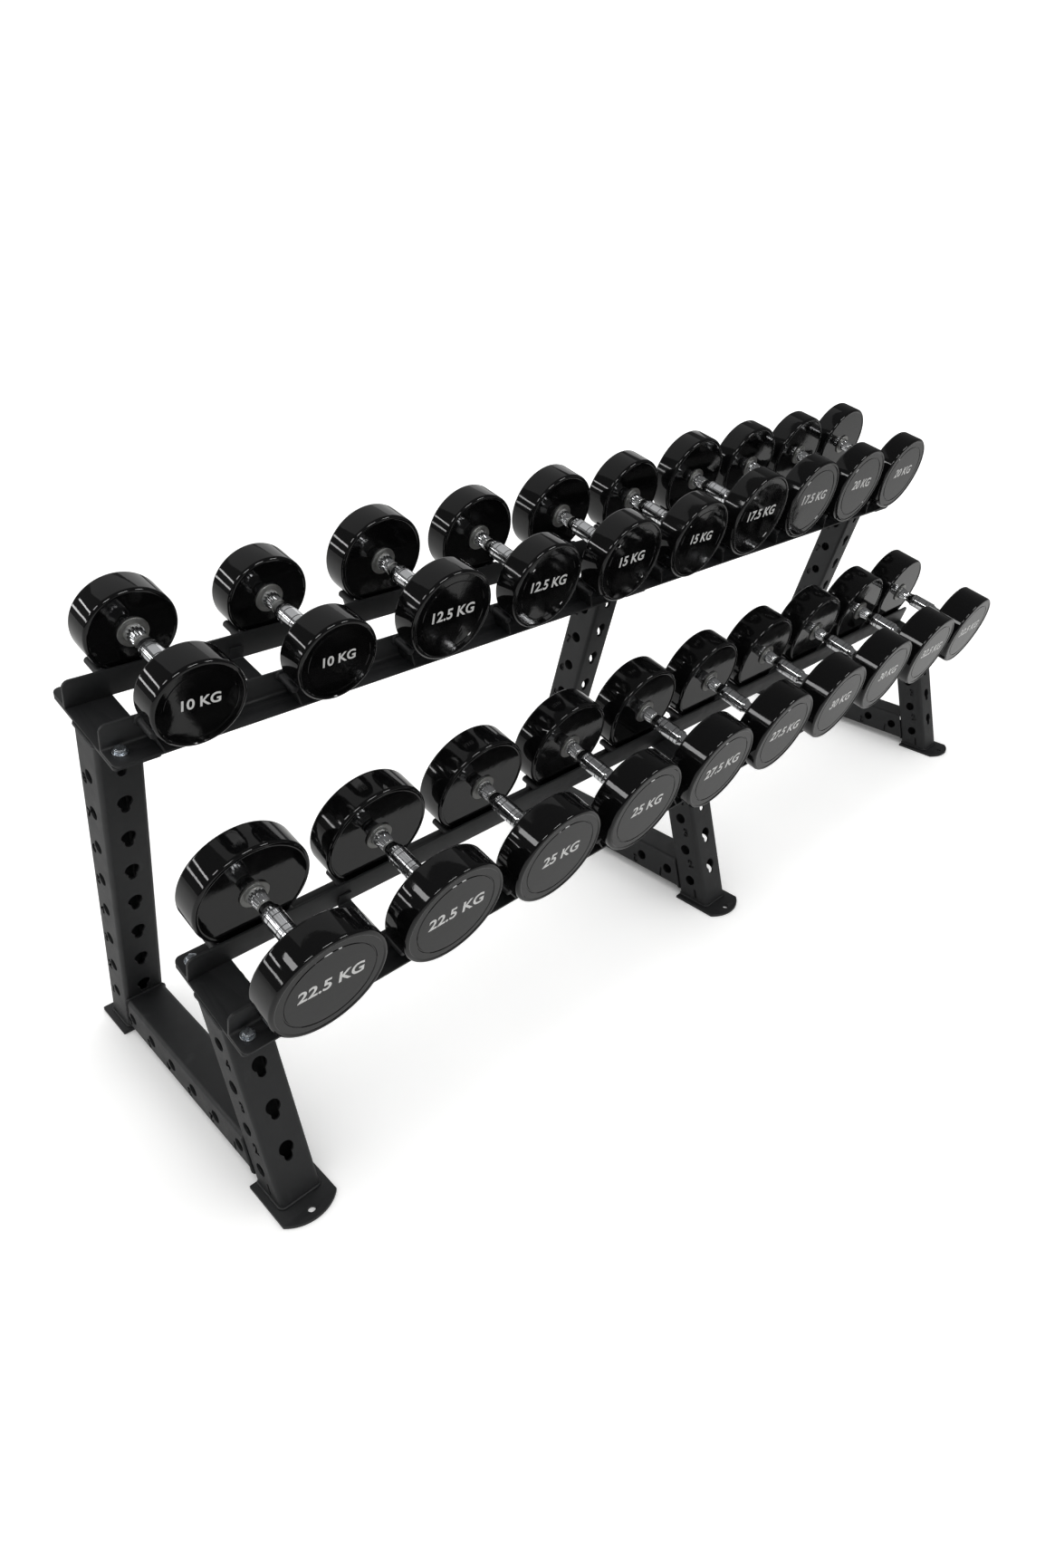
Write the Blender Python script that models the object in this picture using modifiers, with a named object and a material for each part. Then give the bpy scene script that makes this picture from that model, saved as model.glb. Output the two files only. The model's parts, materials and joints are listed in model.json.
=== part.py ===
"""Two-tier dumbbell rack holding ten pairs of round dumbbells.

Three frames of square tube stand side by side. In each frame a rear post leans forward and a front post
leans back, with a base tube between them, and each post carries a tilted seat plate. Two angle rails run
along each tier, with a pair of cradle rods under each dumbbell head.

+X runs along the rails, -Y is the front, +Z is up. The origin is on the floor, midway along and across.
A tier's own axes are X, then U (along its tilted plates, rising to the rear) and N (square to the plates).
"""

import math

import bmesh
import bpy
from mathutils import Matrix, Vector

GAP = 0.0003  # clearance between pieces that touch

# Frames
FRAME_X = (-1.1525, 0.0, 1.1525)
FRAME_NAMES = ("left", "middle", "right")
TUBE = 0.075
TUBE_WALL = 0.004
TUBE_CORNER = 0.0085
TIER_TILT = math.radians(15)
FRONT_POST_LEAN = math.radians(16.7)
FRONT_POST_Y = -0.5681  # front face of the front post, at the floor
DEPTH_SHIFT = 0.27554  # from the rear post's front face at the floor to mid depth, towards the front
BASE_TUBE_BOTTOM = 0.0185

# Holes along the tubes
HOLE_RADIUS = 0.0125
HOLE_SIDES = 8
KEYHOLE_RADIUS = 0.0130
KEYHOLE_SLOT_RADIUS = 0.0075
KEYHOLE_DROP = 0.0165
HOLE_PITCH = 0.0804
REAR_POST_HOLES = (0.0882, 8)  # first centre along the post, and how many
REAR_POST_KEYHOLES = (0.1254, 8)
FRONT_POST_HOLES = (0.0705, 4)
FRONT_POST_KEYHOLES = (0.1055, 3)
BASE_TUBE_HOLES = (-0.4425, 6)
NO_KEYHOLES = (0.0, 0)

# Feet
FOOT_THICKNESS = 0.006
FOOT_OVERHANG = 0.0134
REAR_FOOT_Y = (-0.0075, 0.0908)
FRONT_FOOT_Y = (-0.5906, -0.4874)
FRONT_FOOT_BOW = 0.022  # how far the front edge bulges forward
ANCHOR_HOLE_RADIUS = 0.0065
ANCHOR_HOLE_FORWARD = 0.004  # ahead of the front foot's corners

# Tiers: height of each plate's top surface along N, and its front edge along U, from the frame's own origin
TIER_N = {"upper": 0.7445, "lower": 0.4503}
TIER_U = {"upper": -0.0648, "lower": -0.4247}
PLATE_DEPTH = 0.207
PLATE_THICKNESS = 0.006
PLATE_CORNER = 0.006

# Rails: angle section, from the front edge of its plate
RAIL_LENGTH = 2.380
RAIL_THICKNESS = 0.005
RAIL_LEG = 0.050
FRONT_RAIL_U = -0.004  # outer edge of the front rail's flat leg
REAR_RAIL_U = 0.213  # outer edge of the rear rail's flat leg
RAIL_END_ROUND = 0.012
BOLT_INSET = 0.022
BOLT_U = {"front": 0.025, "rear": 0.192}

# Cradles under each dumbbell head
DUMBBELL_PITCH = 0.2395
ROD_RADIUS = 0.007
ROD_AT = {"upper": (0.058, 0.042), "lower": (0.068, 0.037)}  # off a dumbbell's middle, and over the seats
ROD_SIDES = 8
ROD_REACH = 0.001  # past the flat leg's outer edge
WING_THICKNESS = 0.003
WING_FOOT_HALF_SPAN = 0.043

# Cross straps between the two rails of a tier
STRAP_X = -0.900
STRAP_WIDTH = 0.026
STRAP_THICKNESS = 0.004
STRAP_TAB = 0.026

# Dumbbells: head radius and thickness, from the lightest pair to the heaviest
UPPER_PAIRS = ((0.0763, 0.0605), (0.090, 0.058), (0.093, 0.0635), (0.103, 0.0575), (0.103, 0.059))
LOWER_PAIRS = ((0.103, 0.061), (0.103, 0.0645), (0.103, 0.071), (0.103, 0.0745), (0.103, 0.0795))
HEAD_SPACING = 0.152  # clear length between the two heads
DUMBBELL_U = 0.0955  # middle of every dumbbell
HEAD_ROUND = 0.006
COLLAR_RADIUS = 0.026
COLLAR_LENGTH = 0.003
NECK_RADII = (0.0165, 0.0125)  # at the collar and at its waist
WAIST = 0.0285  # from a head's inner face to the waist
GRIP_START = 0.0455  # from a head's inner face to the full grip
GRIP_RADIUS = 0.0175
DUMBBELL_SEGMENTS = 12

# Bolts: profile radii and heights from the top of the rail's flat leg
BOLT_SHANK_RADIUS = 0.0058
BOLT_HOLE_RADIUS = 0.0065
BOLT_HOLE_LENGTH = 0.040  # of its cutter, right through a rail and a seat plate
BOLT_HEAD = (0.0100, 0.0065)
BOLT_CROWN_RADIUS = 0.0060
WASHER = (0.0120, 0.0025)
NUT = (0.0095, 0.0100)
BOLT_SIDES = 6


# ---------------------------------------------------------------- collections, materials, small helpers

for old in list(bpy.data.objects):
    bpy.data.objects.remove(old, do_unlink=True)

parts = bpy.data.collections.new("dumbbell_rack")
cutters = bpy.data.collections.new("cutters")
for collection in (parts, cutters):
    bpy.context.scene.collection.children.link(collection)


def make_material(name, colour, roughness, metallic):
    material = bpy.data.materials.new(name)
    material.use_nodes = True
    shader = material.node_tree.nodes["Principled BSDF"]
    shader.inputs["Base Color"].default_value = (*colour, 1.0)
    shader.inputs["Roughness"].default_value = roughness
    shader.inputs["Metallic"].default_value = metallic
    material.diffuse_color = (*colour, 1.0)
    return material


POWDER_COAT = make_material("powder_coat", (0.022, 0.022, 0.024), 0.55, 0.0)
ZINC = make_material("zinc", (0.62, 0.63, 0.65), 0.35, 1.0)
GLOSS_IRON = make_material("gloss_iron", (0.012, 0.012, 0.015), 0.12, 0.0)


def add_object(name, mesh, material, parent, matrix=None):
    """A part: the mesh as a named object with its own material, placed under its parent."""
    piece = bpy.data.objects.new(name, mesh)
    own_material = material.copy()
    own_material.name = name + "_material"
    if not mesh.materials:
        mesh.materials.append(None)
    parts.objects.link(piece)
    piece.material_slots[0].link = "OBJECT"
    piece.material_slots[0].material = own_material
    piece.parent = parent
    piece.matrix_local = matrix or Matrix()
    return piece


def add_empty(name, parent, matrix):
    empty = bpy.data.objects.new(name, None)
    parts.objects.link(empty)
    empty.parent = parent
    empty.matrix_local = matrix
    return empty


def add_cutter(name, mesh, parent, matrix=None):
    cutter = bpy.data.objects.new(name, mesh)
    cutters.objects.link(cutter)
    cutter.parent = parent
    cutter.matrix_local = matrix or Matrix()
    cutter.hide_render = True
    cutter.display_type = "WIRE"
    return cutter


def add_boolean(piece, operand, operation):
    modifier = piece.modifiers.new(operation.lower(), "BOOLEAN")
    modifier.operation = operation
    modifier.solver = "EXACT"
    modifier.object = operand


def arc(centre, radius, start, end, steps):
    """Points along an arc, from the start angle to the end angle in degrees."""
    angles = [math.radians(start + (end - start) * i / steps) for i in range(steps + 1)]
    return [(centre[0] + radius * math.cos(a), centre[1] + radius * math.sin(a)) for a in angles]


def rounded_rectangle(width, height, radius, steps):
    """Outline about the origin, each corner an arc."""
    outline = []
    for turn, (side_x, side_y) in enumerate(((1, 1), (-1, 1), (-1, -1), (1, -1))):
        centre = (side_x * (width / 2 - radius), side_y * (height / 2 - radius))
        outline += arc(centre, radius, 90 * turn, 90 * turn + 90, steps)
    return outline


def extruded(name, outlines, length):
    """A closed mesh: flat outlines in XY, an outer one and any holes, extruded along Z about the middle."""
    curve = bpy.data.curves.new(name, "CURVE")
    curve.dimensions = "2D"
    curve.fill_mode = "BOTH"
    curve.extrude = length / 2
    for outline in outlines:
        spline = curve.splines.new("POLY")
        spline.points.add(len(outline) - 1)
        spline.use_cyclic_u = True
        for point, (x, y) in zip(spline.points, outline):
            point.co = (x, y, 0.0, 1.0)
    drawn = bpy.data.objects.new(name, curve)
    bpy.context.scene.collection.objects.link(drawn)
    graph = bpy.context.evaluated_depsgraph_get()
    mesh = bpy.data.meshes.new_from_object(drawn.evaluated_get(graph))
    bpy.data.objects.remove(drawn, do_unlink=True)
    bpy.data.curves.remove(curve)
    welded = bmesh.new()
    welded.from_mesh(mesh)
    bmesh.ops.remove_doubles(welded, verts=welded.verts, dist=0.00001)
    bmesh.ops.recalc_face_normals(welded, faces=welded.faces)
    welded.to_mesh(mesh)
    welded.free()
    mesh.materials.clear()
    mesh.name = name
    return mesh


def mitre(mesh, bottom, top):
    """Moves the ends of a prism that runs along Z onto two planes, each given as (point, normal)."""
    for vertex in mesh.vertices:
        point, normal = top if vertex.co.z > 0 else bottom
        vertex.co.z = normal.dot(point - Vector((vertex.co.x, vertex.co.y, 0.0))) / normal.z


def joined_meshes(name, meshes_and_matrices):
    """One mesh holding a copy of each given mesh, moved by its matrix."""
    joined = bmesh.new()
    for mesh, matrix in meshes_and_matrices:
        start = len(joined.verts)
        joined.from_mesh(mesh)
        joined.verts.ensure_lookup_table()
        bmesh.ops.transform(joined, matrix=matrix, verts=joined.verts[start:])
    result = bpy.data.meshes.new(name)
    joined.to_mesh(result)
    joined.free()
    return result


def smooth(mesh, angle=40):
    mesh.shade_smooth()
    mesh.set_sharp_from_angle(angle=math.radians(angle))


def circle(radius, sides):
    """A ring of points with a flat side up, so that it fits a run of equal sides."""
    first = 180 / sides
    return arc((0, 0), radius, first, first + 360 * (sides - 1) / sides, sides - 1)


# ---------------------------------------------------------------- frames

rack = add_empty("rack", None, Matrix.Translation((0, DEPTH_SHIFT, 0)))
ALONG_X = Matrix.Rotation(math.radians(90), 4, "Y")
FACING_FRONT = Matrix.Rotation(math.radians(90), 4, "X")


def keyhole_outline():
    """A round hole with a narrower slot below it, for a hook to drop into."""
    half_angle = math.degrees(math.asin(KEYHOLE_SLOT_RADIUS / KEYHOLE_RADIUS))
    return arc((0, 0), KEYHOLE_RADIUS, half_angle - 90, 270 - half_angle, 6) + arc(
        (0, -KEYHOLE_DROP), KEYHOLE_SLOT_RADIUS, 180, 360, 3
    )


def tube_mesh(name):
    """A short length of square hollow tube along Z about the origin, its ends still to be mitred."""
    inside = TUBE - 2 * TUBE_WALL
    outer = rounded_rectangle(TUBE, TUBE, TUBE_CORNER, 2)
    inner = rounded_rectangle(inside, inside, TUBE_CORNER - TUBE_WALL, 1)
    return extruded(name, (outer, inner), TUBE)


def hole_cutters(name, holes, keyholes):
    """Round bars right through the side walls, and keyhole bars through the front wall only."""
    first_hole, hole_count = holes
    first_keyhole, keyhole_count = keyholes
    bar = extruded("side_hole", (circle(HOLE_RADIUS, HOLE_SIDES),), 2 * TUBE)
    key = extruded("keyhole", (keyhole_outline(),), 4 * TUBE_WALL)
    placed = [
        (bar, Matrix.Translation((0, 0, first_hole + HOLE_PITCH * i)) @ ALONG_X)
        for i in range(hole_count)
    ]
    placed += [
        (key, Matrix.Translation((0, -TUBE / 2, first_keyhole + HOLE_PITCH * i)) @ FACING_FRONT)
        for i in range(keyhole_count)
    ]
    return joined_meshes(name, placed)


def lean(angle, y):
    """Frame of a post: its local Z runs up the post, and its front face meets the floor at y."""
    turn = Matrix.Rotation(angle, 4, "X")
    return Matrix.Translation((0, y, 0)) @ turn @ Matrix.Translation((0, TUBE / 2, 0))


def post_mesh(name, placed, tier):
    """A post from the top of its foot plate to the underside of its tier's seat plate."""
    mesh = tube_mesh(name)
    inverse = placed.inverted()
    turn = inverse.to_3x3()
    up = Vector((0, 0, 1))
    tier_normal = Vector((0, -math.sin(TIER_TILT), math.cos(TIER_TILT)))
    under_plate = TIER_N[tier] - PLATE_THICKNESS - GAP
    bottom = (inverse @ (up * (FOOT_THICKNESS + GAP)), turn @ up)
    top = (inverse @ (tier_normal * under_plate), turn @ tier_normal)
    mitre(mesh, bottom, top)
    return mesh


REAR_POST = lean(TIER_TILT, 0.0)
FRONT_POST = lean(-FRONT_POST_LEAN, FRONT_POST_Y)
rear_post_mesh = post_mesh("rear_post", REAR_POST, "upper")
front_post_mesh = post_mesh("front_post", FRONT_POST, "lower")
rear_post_holes = hole_cutters("rear_post_holes", REAR_POST_HOLES, REAR_POST_KEYHOLES)
front_post_holes = hole_cutters("front_post_holes", FRONT_POST_HOLES, FRONT_POST_KEYHOLES)


def base_tube_mesh():
    """The base tube along local Z, which is the rack's Y, mitred to stand off both leaning posts."""
    mesh = tube_mesh("base_tube")
    rear_normal = Vector((0, math.cos(TIER_TILT), math.sin(TIER_TILT)))
    front_normal = Vector((0, math.cos(FRONT_POST_LEAN), -math.sin(FRONT_POST_LEAN)))
    inverse = BASE_TUBE.inverted()
    turn = inverse.to_3x3()
    behind_front_post = FRONT_POST @ Vector((0, TUBE / 2 + GAP, 0))
    front_end = (inverse @ behind_front_post, turn @ front_normal)
    rear_end = (inverse @ (rear_normal * -GAP), turn @ rear_normal)
    mitre(mesh, front_end, rear_end)
    return mesh


LYING = Matrix.Rotation(math.radians(-90), 4, "X")  # local Z to the rack's +Y
BASE_TUBE = Matrix.Translation((0, 0, BASE_TUBE_BOTTOM + TUBE / 2)) @ LYING
base_mesh = base_tube_mesh()
base_tube_holes = hole_cutters("base_tube_holes", BASE_TUBE_HOLES, NO_KEYHOLES)


def foot_mesh(name, y_range, bow, anchor_y):
    """A foot plate, its front edge bowed out by bow, with an anchor hole where anchor_y says."""
    half = TUBE / 2 + FOOT_OVERHANG
    front, rear = y_range
    outline = [(half, front), (half, rear), (-half, rear), (-half, front)]
    if bow:
        radius = (half * half + bow * bow) / (2 * bow)
        spread = math.degrees(math.asin(half / radius))
        outline = outline[1:3] + arc((0, front - bow + radius), radius, -90 - spread, -90 + spread, 8)
    holes = []
    if anchor_y is not None:
        holes = [[(x, y + anchor_y) for x, y in circle(ANCHOR_HOLE_RADIUS, HOLE_SIDES)]]
    return extruded(name, (outline, *holes), FOOT_THICKNESS)


rear_foot_mesh = foot_mesh("rear_foot", REAR_FOOT_Y, 0.0, None)
anchor_y = FRONT_FOOT_Y[0] - ANCHOR_HOLE_FORWARD
front_foot_mesh = foot_mesh("front_foot", FRONT_FOOT_Y, FRONT_FOOT_BOW, anchor_y)


def plate_mesh():
    """A seat plate with rounded corners, its front edge at U = 0 and its middle layer at N = 0."""
    outline = [(x, u + PLATE_DEPTH / 2) for x, u in rounded_rectangle(TUBE, PLATE_DEPTH, PLATE_CORNER, 2)]
    return extruded("seat_plate", (outline,), PLATE_THICKNESS)


seat_plate_mesh = plate_mesh()
tiers = {
    name: add_empty(
        name + "_tier",
        rack,
        Matrix.Rotation(TIER_TILT, 4, "X") @ Matrix.Translation((0, TIER_U[name], TIER_N[name])),
    )
    for name in TIER_N
}


def bolt_x(frame_x):
    """Where a frame's bolts are along the rails: near the rail's end on the outer frames."""
    end = RAIL_LENGTH / 2 - BOLT_INSET
    return math.copysign(end, frame_x) if frame_x else 0.0


bolt_bar = extruded("bolt_hole", (circle(BOLT_HOLE_RADIUS, HOLE_SIDES),), BOLT_HOLE_LENGTH)
bolt_hole_mesh = joined_meshes(
    "bolt_holes",
    [
        (bolt_bar, Matrix.Translation((bolt_x(frame_x), u, 0)))
        for frame_x in FRAME_X
        for u in BOLT_U.values()
    ],
)
bolt_holes = {name: add_cutter(name + "_bolt_holes", bolt_hole_mesh, tiers[name]) for name in tiers}

for name, x in zip(FRAME_NAMES, FRAME_X):
    stand = add_empty(name + "_frame", rack, Matrix.Translation((x, 0, 0)))
    for piece, mesh, holes, placed in (
        ("rear_post", rear_post_mesh, rear_post_holes, REAR_POST),
        ("front_post", front_post_mesh, front_post_holes, FRONT_POST),
        ("base_tube", base_mesh, base_tube_holes, BASE_TUBE),
    ):
        tube = add_object(f"{name}_{piece}", mesh, POWDER_COAT, stand, placed)
        add_boolean(tube, add_cutter(f"{name}_{piece}_holes", holes, stand, placed), "DIFFERENCE")
    on_floor = Matrix.Translation((0, 0, FOOT_THICKNESS / 2))
    add_object(name + "_rear_foot", rear_foot_mesh, POWDER_COAT, stand, on_floor)
    add_object(name + "_front_foot", front_foot_mesh, POWDER_COAT, stand, on_floor)
    for tier_name, tier in tiers.items():
        seat = Matrix.Translation((x, 0, -PLATE_THICKNESS / 2))
        plate = add_object(f"{name}_{tier_name}_plate", seat_plate_mesh, POWDER_COAT, tier, seat)
        add_boolean(plate, bolt_holes[tier_name], "DIFFERENCE")


# ---------------------------------------------------------------- rails and cradles

def dumbbell_x(index):
    return (index + 0.5) * DUMBBELL_PITCH - RAIL_LENGTH / 2


def cradle_outline(rod_at):
    """A rod in section with a thin wing running from it down and in to the rail's flat leg."""
    rod = Vector(rod_at)
    foot = Vector((WING_FOOT_HALF_SPAN, GAP + RAIL_THICKNESS / 2))
    down = (foot - rod).normalized()
    across = Vector((-down.y, down.x)) * (WING_THICKNESS / 2)
    bearing = math.degrees(math.atan2(down.y, down.x))
    half_angle = math.degrees(math.asin(WING_THICKNESS / 2 / ROD_RADIUS))
    around = arc(rod, ROD_RADIUS, bearing + half_angle, bearing + 360 - half_angle, ROD_SIDES)
    return around + [tuple(foot - across), tuple(foot + across)]


def rail_mesh(name, outer_edge, inward):
    """An angle rail: flat leg from its outer edge inward, upright leg at the inner end of it."""
    inner = outer_edge + inward * RAIL_LEG
    bend = inner - inward * RAIL_THICKNESS
    outline = [
        (outer_edge, GAP),
        (inner, GAP),
        (inner, GAP + RAIL_LEG),
        (bend, GAP + RAIL_LEG),
        (bend, GAP + RAIL_THICKNESS),
        (outer_edge, GAP + RAIL_THICKNESS),
    ]
    mesh = extruded(name, (outline,), RAIL_LENGTH)
    mesh.transform(Matrix(((0, 0, 1, 0), (1, 0, 0, 0), (0, 1, 0, 0), (0, 0, 0, 1))))
    corners = bmesh.new()
    corners.from_mesh(mesh)
    tips = [
        edge
        for edge in corners.edges
        if edge.calc_length() < 2 * RAIL_THICKNESS
        and (
            all(v.co.z > RAIL_LEG for v in edge.verts)
            or all(abs(v.co.y - outer_edge) < GAP for v in edge.verts)
        )
    ]
    bmesh.ops.bevel(corners, geom=tips, offset=RAIL_END_ROUND, segments=3, profile=0.5, affect="EDGES")
    corners.to_mesh(mesh)
    corners.free()
    return mesh


def cradle_mesh(name, outer_edge, inward, rod_at):
    """The twenty rods and wings of one rail, from just past its outer edge into its upright leg."""
    start = outer_edge - inward * ROD_REACH
    end = outer_edge + inward * (RAIL_LEG - RAIL_THICKNESS / 2)
    outline = cradle_outline(rod_at)
    right = extruded("cradle", (outline,), abs(end - start))
    left = extruded("cradle", ([(-x, y) for x, y in reversed(outline)],), abs(end - start))
    middle = (start + end) / 2
    upright = Matrix(((1, 0, 0, 0), (0, 0, -1, 0), (0, 1, 0, 0), (0, 0, 0, 1)))
    placed = [
        (half, Matrix.Translation((dumbbell_x(i), middle, 0)) @ upright)
        for i in range(2 * len(UPPER_PAIRS))
        for half in (left, right)
    ]
    return joined_meshes(name, placed)


for side, outer_edge, inward in (("front", FRONT_RAIL_U, 1), ("rear", REAR_RAIL_U, -1)):
    angle = rail_mesh(side + "_rail", outer_edge, inward)
    for tier_name, tier in tiers.items():
        cradles = cradle_mesh(side + "_cradles", outer_edge, inward, ROD_AT[tier_name])
        rail = add_object(f"{tier_name}_{side}_rail", angle, POWDER_COAT, tier)
        add_boolean(rail, add_cutter(f"{tier_name}_{side}_cradles", cradles, tier), "UNION")
        add_boolean(rail, bolt_holes[tier_name], "DIFFERENCE")


def strap_mesh():
    """A flat strap between the upright legs, with a tab turned up against each of them."""
    front = FRONT_RAIL_U + RAIL_LEG + GAP
    rear = REAR_RAIL_U - RAIL_LEG - GAP
    low = 2 * GAP
    high = low + STRAP_TAB
    outline = [
        (front, low),
        (rear, low),
        (rear, high),
        (rear - STRAP_THICKNESS, high),
        (rear - STRAP_THICKNESS, low + STRAP_THICKNESS),
        (front + STRAP_THICKNESS, low + STRAP_THICKNESS),
        (front + STRAP_THICKNESS, high),
        (front, high),
    ]
    mesh = extruded("cross_strap", (outline,), STRAP_WIDTH)
    mesh.transform(Matrix(((0, 0, 1, 0), (1, 0, 0, 0), (0, 1, 0, 0), (0, 0, 0, 1))))
    return mesh


strap = strap_mesh()
for tier_name, tier in tiers.items():
    add_object(tier_name + "_cross_strap", strap, POWDER_COAT, tier, Matrix.Translation((STRAP_X, 0, 0)))


# ---------------------------------------------------------------- turned pieces: bolts and dumbbells

def turned(name, profile, sides):
    """A solid of revolution about Z, from points (radius, height) that run from its top to its bottom."""
    line = bpy.data.meshes.new(name + "_profile")
    line.from_pydata(
        [(r, 0.0, z) for r, z in profile], [(i, i + 1) for i in range(len(profile) - 1)], []
    )
    spun = bpy.data.objects.new(name, line)
    bpy.context.scene.collection.objects.link(spun)
    screw = spun.modifiers.new("turned", "SCREW")
    screw.axis = "Z"
    screw.steps = screw.render_steps = sides
    screw.use_merge_vertices = True
    screw.merge_threshold = 0.00001
    graph = bpy.context.evaluated_depsgraph_get()
    mesh = bpy.data.meshes.new_from_object(spun.evaluated_get(graph))
    bpy.data.objects.remove(spun, do_unlink=True)
    mesh.name = name
    smooth(mesh)
    return mesh


def bolt_profile():
    """Button head, washer, shank and nut, from the top of the head down to the end of the shank."""
    head_radius, head_height = BOLT_HEAD
    washer_radius, washer_height = WASHER
    nut_radius, nut_height = NUT
    under_washer = GAP + RAIL_THICKNESS + GAP
    over_nut = -PLATE_THICKNESS - GAP
    return [
        (0.0, under_washer + washer_height + head_height),
        (BOLT_CROWN_RADIUS, under_washer + washer_height + head_height),
        (head_radius, under_washer + washer_height),
        (washer_radius, under_washer + washer_height),
        (washer_radius, under_washer),
        (BOLT_SHANK_RADIUS, under_washer),
        (BOLT_SHANK_RADIUS, over_nut),
        (nut_radius, over_nut),
        (nut_radius, over_nut - nut_height),
        (0.0, over_nut - nut_height),
    ]


bolt = turned("bolt", bolt_profile(), BOLT_SIDES)
for frame_name, frame_x in zip(FRAME_NAMES, FRAME_X):
    for tier_name, tier in tiers.items():
        for side, u in BOLT_U.items():
            spot = Matrix.Translation((bolt_x(frame_x), u, 0))
            add_object(f"{frame_name}_{tier_name}_{side}_bolt", bolt, ZINC, tier, spot)


def dumbbell_profile(radius, thickness):
    """Half of a dumbbell, from the middle of its outer face in to its grip, then the mirrored half."""
    inner = HEAD_SPACING / 2
    outer = inner + thickness
    half = [
        (0.0, outer),
        (radius - HEAD_ROUND, outer),
        (radius, outer - HEAD_ROUND),
        (radius, inner),
        (COLLAR_RADIUS, inner),
        (COLLAR_RADIUS, inner - COLLAR_LENGTH),
        (NECK_RADII[0], inner - COLLAR_LENGTH),
        (NECK_RADII[1], inner - WAIST),
        (GRIP_RADIUS, inner - GRIP_START),
    ]
    return half + [(r, -z) for r, z in reversed(half)]


def resting_n(radius, rod_at):
    """Height of a dumbbell's axis over the seat plates when its heads lie on the cradle rods."""
    reach = radius + ROD_RADIUS + GAP
    return rod_at[1] + math.sqrt(reach * reach - rod_at[0] * rod_at[0])


for tier_name, pairs in (("upper", UPPER_PAIRS), ("lower", LOWER_PAIRS)):
    for index in range(2 * len(pairs)):
        radius, thickness = pairs[index // 2]
        name = f"{tier_name}_dumbbell_{index + 1:02d}"
        mesh = turned(name, dumbbell_profile(radius, thickness), DUMBBELL_SEGMENTS)
        rest = Matrix.Translation((dumbbell_x(index), DUMBBELL_U, resting_n(radius, ROD_AT[tier_name])))
        add_object(name, mesh, GLOSS_IRON, tiers[tier_name], rest @ LYING)
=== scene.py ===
"""The look of a two-tier dumbbell rack with ten pairs of round-headed dumbbells.

Lengths are in metres, +X runs along the rails, -Y is the front and +Z is up. A tier's own axes are X, then
U (along its tilted seat plates, rising to the rear) and N (square to the plates).
"""

import json
import math

import bmesh
import bpy
from mathutils import Matrix, Quaternion, Vector


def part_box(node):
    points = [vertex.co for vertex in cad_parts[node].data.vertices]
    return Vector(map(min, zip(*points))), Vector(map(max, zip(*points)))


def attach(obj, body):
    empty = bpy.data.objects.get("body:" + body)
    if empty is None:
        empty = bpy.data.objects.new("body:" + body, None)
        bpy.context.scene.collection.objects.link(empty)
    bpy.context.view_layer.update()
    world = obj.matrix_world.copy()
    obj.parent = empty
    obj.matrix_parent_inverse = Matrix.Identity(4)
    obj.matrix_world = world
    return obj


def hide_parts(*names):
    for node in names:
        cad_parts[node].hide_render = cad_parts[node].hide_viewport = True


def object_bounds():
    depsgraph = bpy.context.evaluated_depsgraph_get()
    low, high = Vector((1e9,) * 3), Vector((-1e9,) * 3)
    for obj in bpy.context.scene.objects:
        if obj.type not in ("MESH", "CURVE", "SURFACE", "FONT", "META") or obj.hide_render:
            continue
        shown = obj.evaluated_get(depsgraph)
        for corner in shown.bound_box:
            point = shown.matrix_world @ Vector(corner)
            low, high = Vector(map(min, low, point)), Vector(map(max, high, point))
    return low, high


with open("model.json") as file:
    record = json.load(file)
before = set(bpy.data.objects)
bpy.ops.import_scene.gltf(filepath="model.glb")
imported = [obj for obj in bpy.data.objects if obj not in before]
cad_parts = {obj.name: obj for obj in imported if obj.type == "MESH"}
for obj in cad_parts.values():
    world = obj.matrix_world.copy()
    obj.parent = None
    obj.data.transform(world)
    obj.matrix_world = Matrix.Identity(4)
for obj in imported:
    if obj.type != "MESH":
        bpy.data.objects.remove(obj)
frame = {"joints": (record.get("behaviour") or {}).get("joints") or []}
cad_low, cad_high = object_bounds()

# ---------------------------------------------------------------- sizes

FRAMES = ("left", "middle", "right")
TIERS = ("upper", "lower")
GAP = 0.0003

TUBE = 0.075
TUBE_WALL = 0.004
TUBE_CORNER = 0.0085
POST_LEAN = math.radians(15)
FRONT_POST_LEAN = math.radians(-16.7)
REAR_FOOT_DEPTH = 0.0908  # from a rear post's front face to the back of its foot
STANCE = 0.5681  # between the posts' front faces, at the floor
REAR_POST_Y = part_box("middle_rear_foot")[1][1] - REAR_FOOT_DEPTH
FRONT_POST_Y = REAR_POST_Y - STANCE
BASE_TUBE_BOTTOM = 0.0185

HOLE_PITCH = 0.0804
HOLE_RADIUS = 0.0125
KEYHOLE_RADIUS = 0.0130
KEYHOLE_SLOT_RADIUS = 0.0075
KEYHOLE_DROP = 0.0165
REAR_POST_HOLES = (0.0882, 8)  # first centre along the tube, and how many
REAR_POST_KEYHOLES = (0.1254, 8)
FRONT_POST_HOLES = (0.0705, 4)
FRONT_POST_KEYHOLES = (0.1055, 3)
BASE_TUBE_HOLES = (REAR_POST_Y - 0.4425, 6)
KEYHOLE_CUT_DEPTH = 4 * TUBE_WALL
DIGIT_HEIGHT = 0.0190
DIGIT_DEPTH = 0.0034
DIGIT_WEIGHT = 0.085  # how far the strokes are fattened, as a share of the height
REAR_POST_DIGITS = (0.018, -0.016)  # off their holes, across the wall and along the tube
FRONT_POST_DIGITS = (-0.010, -0.034)
BASE_TUBE_DIGITS = (0.018, 0.018)

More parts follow.
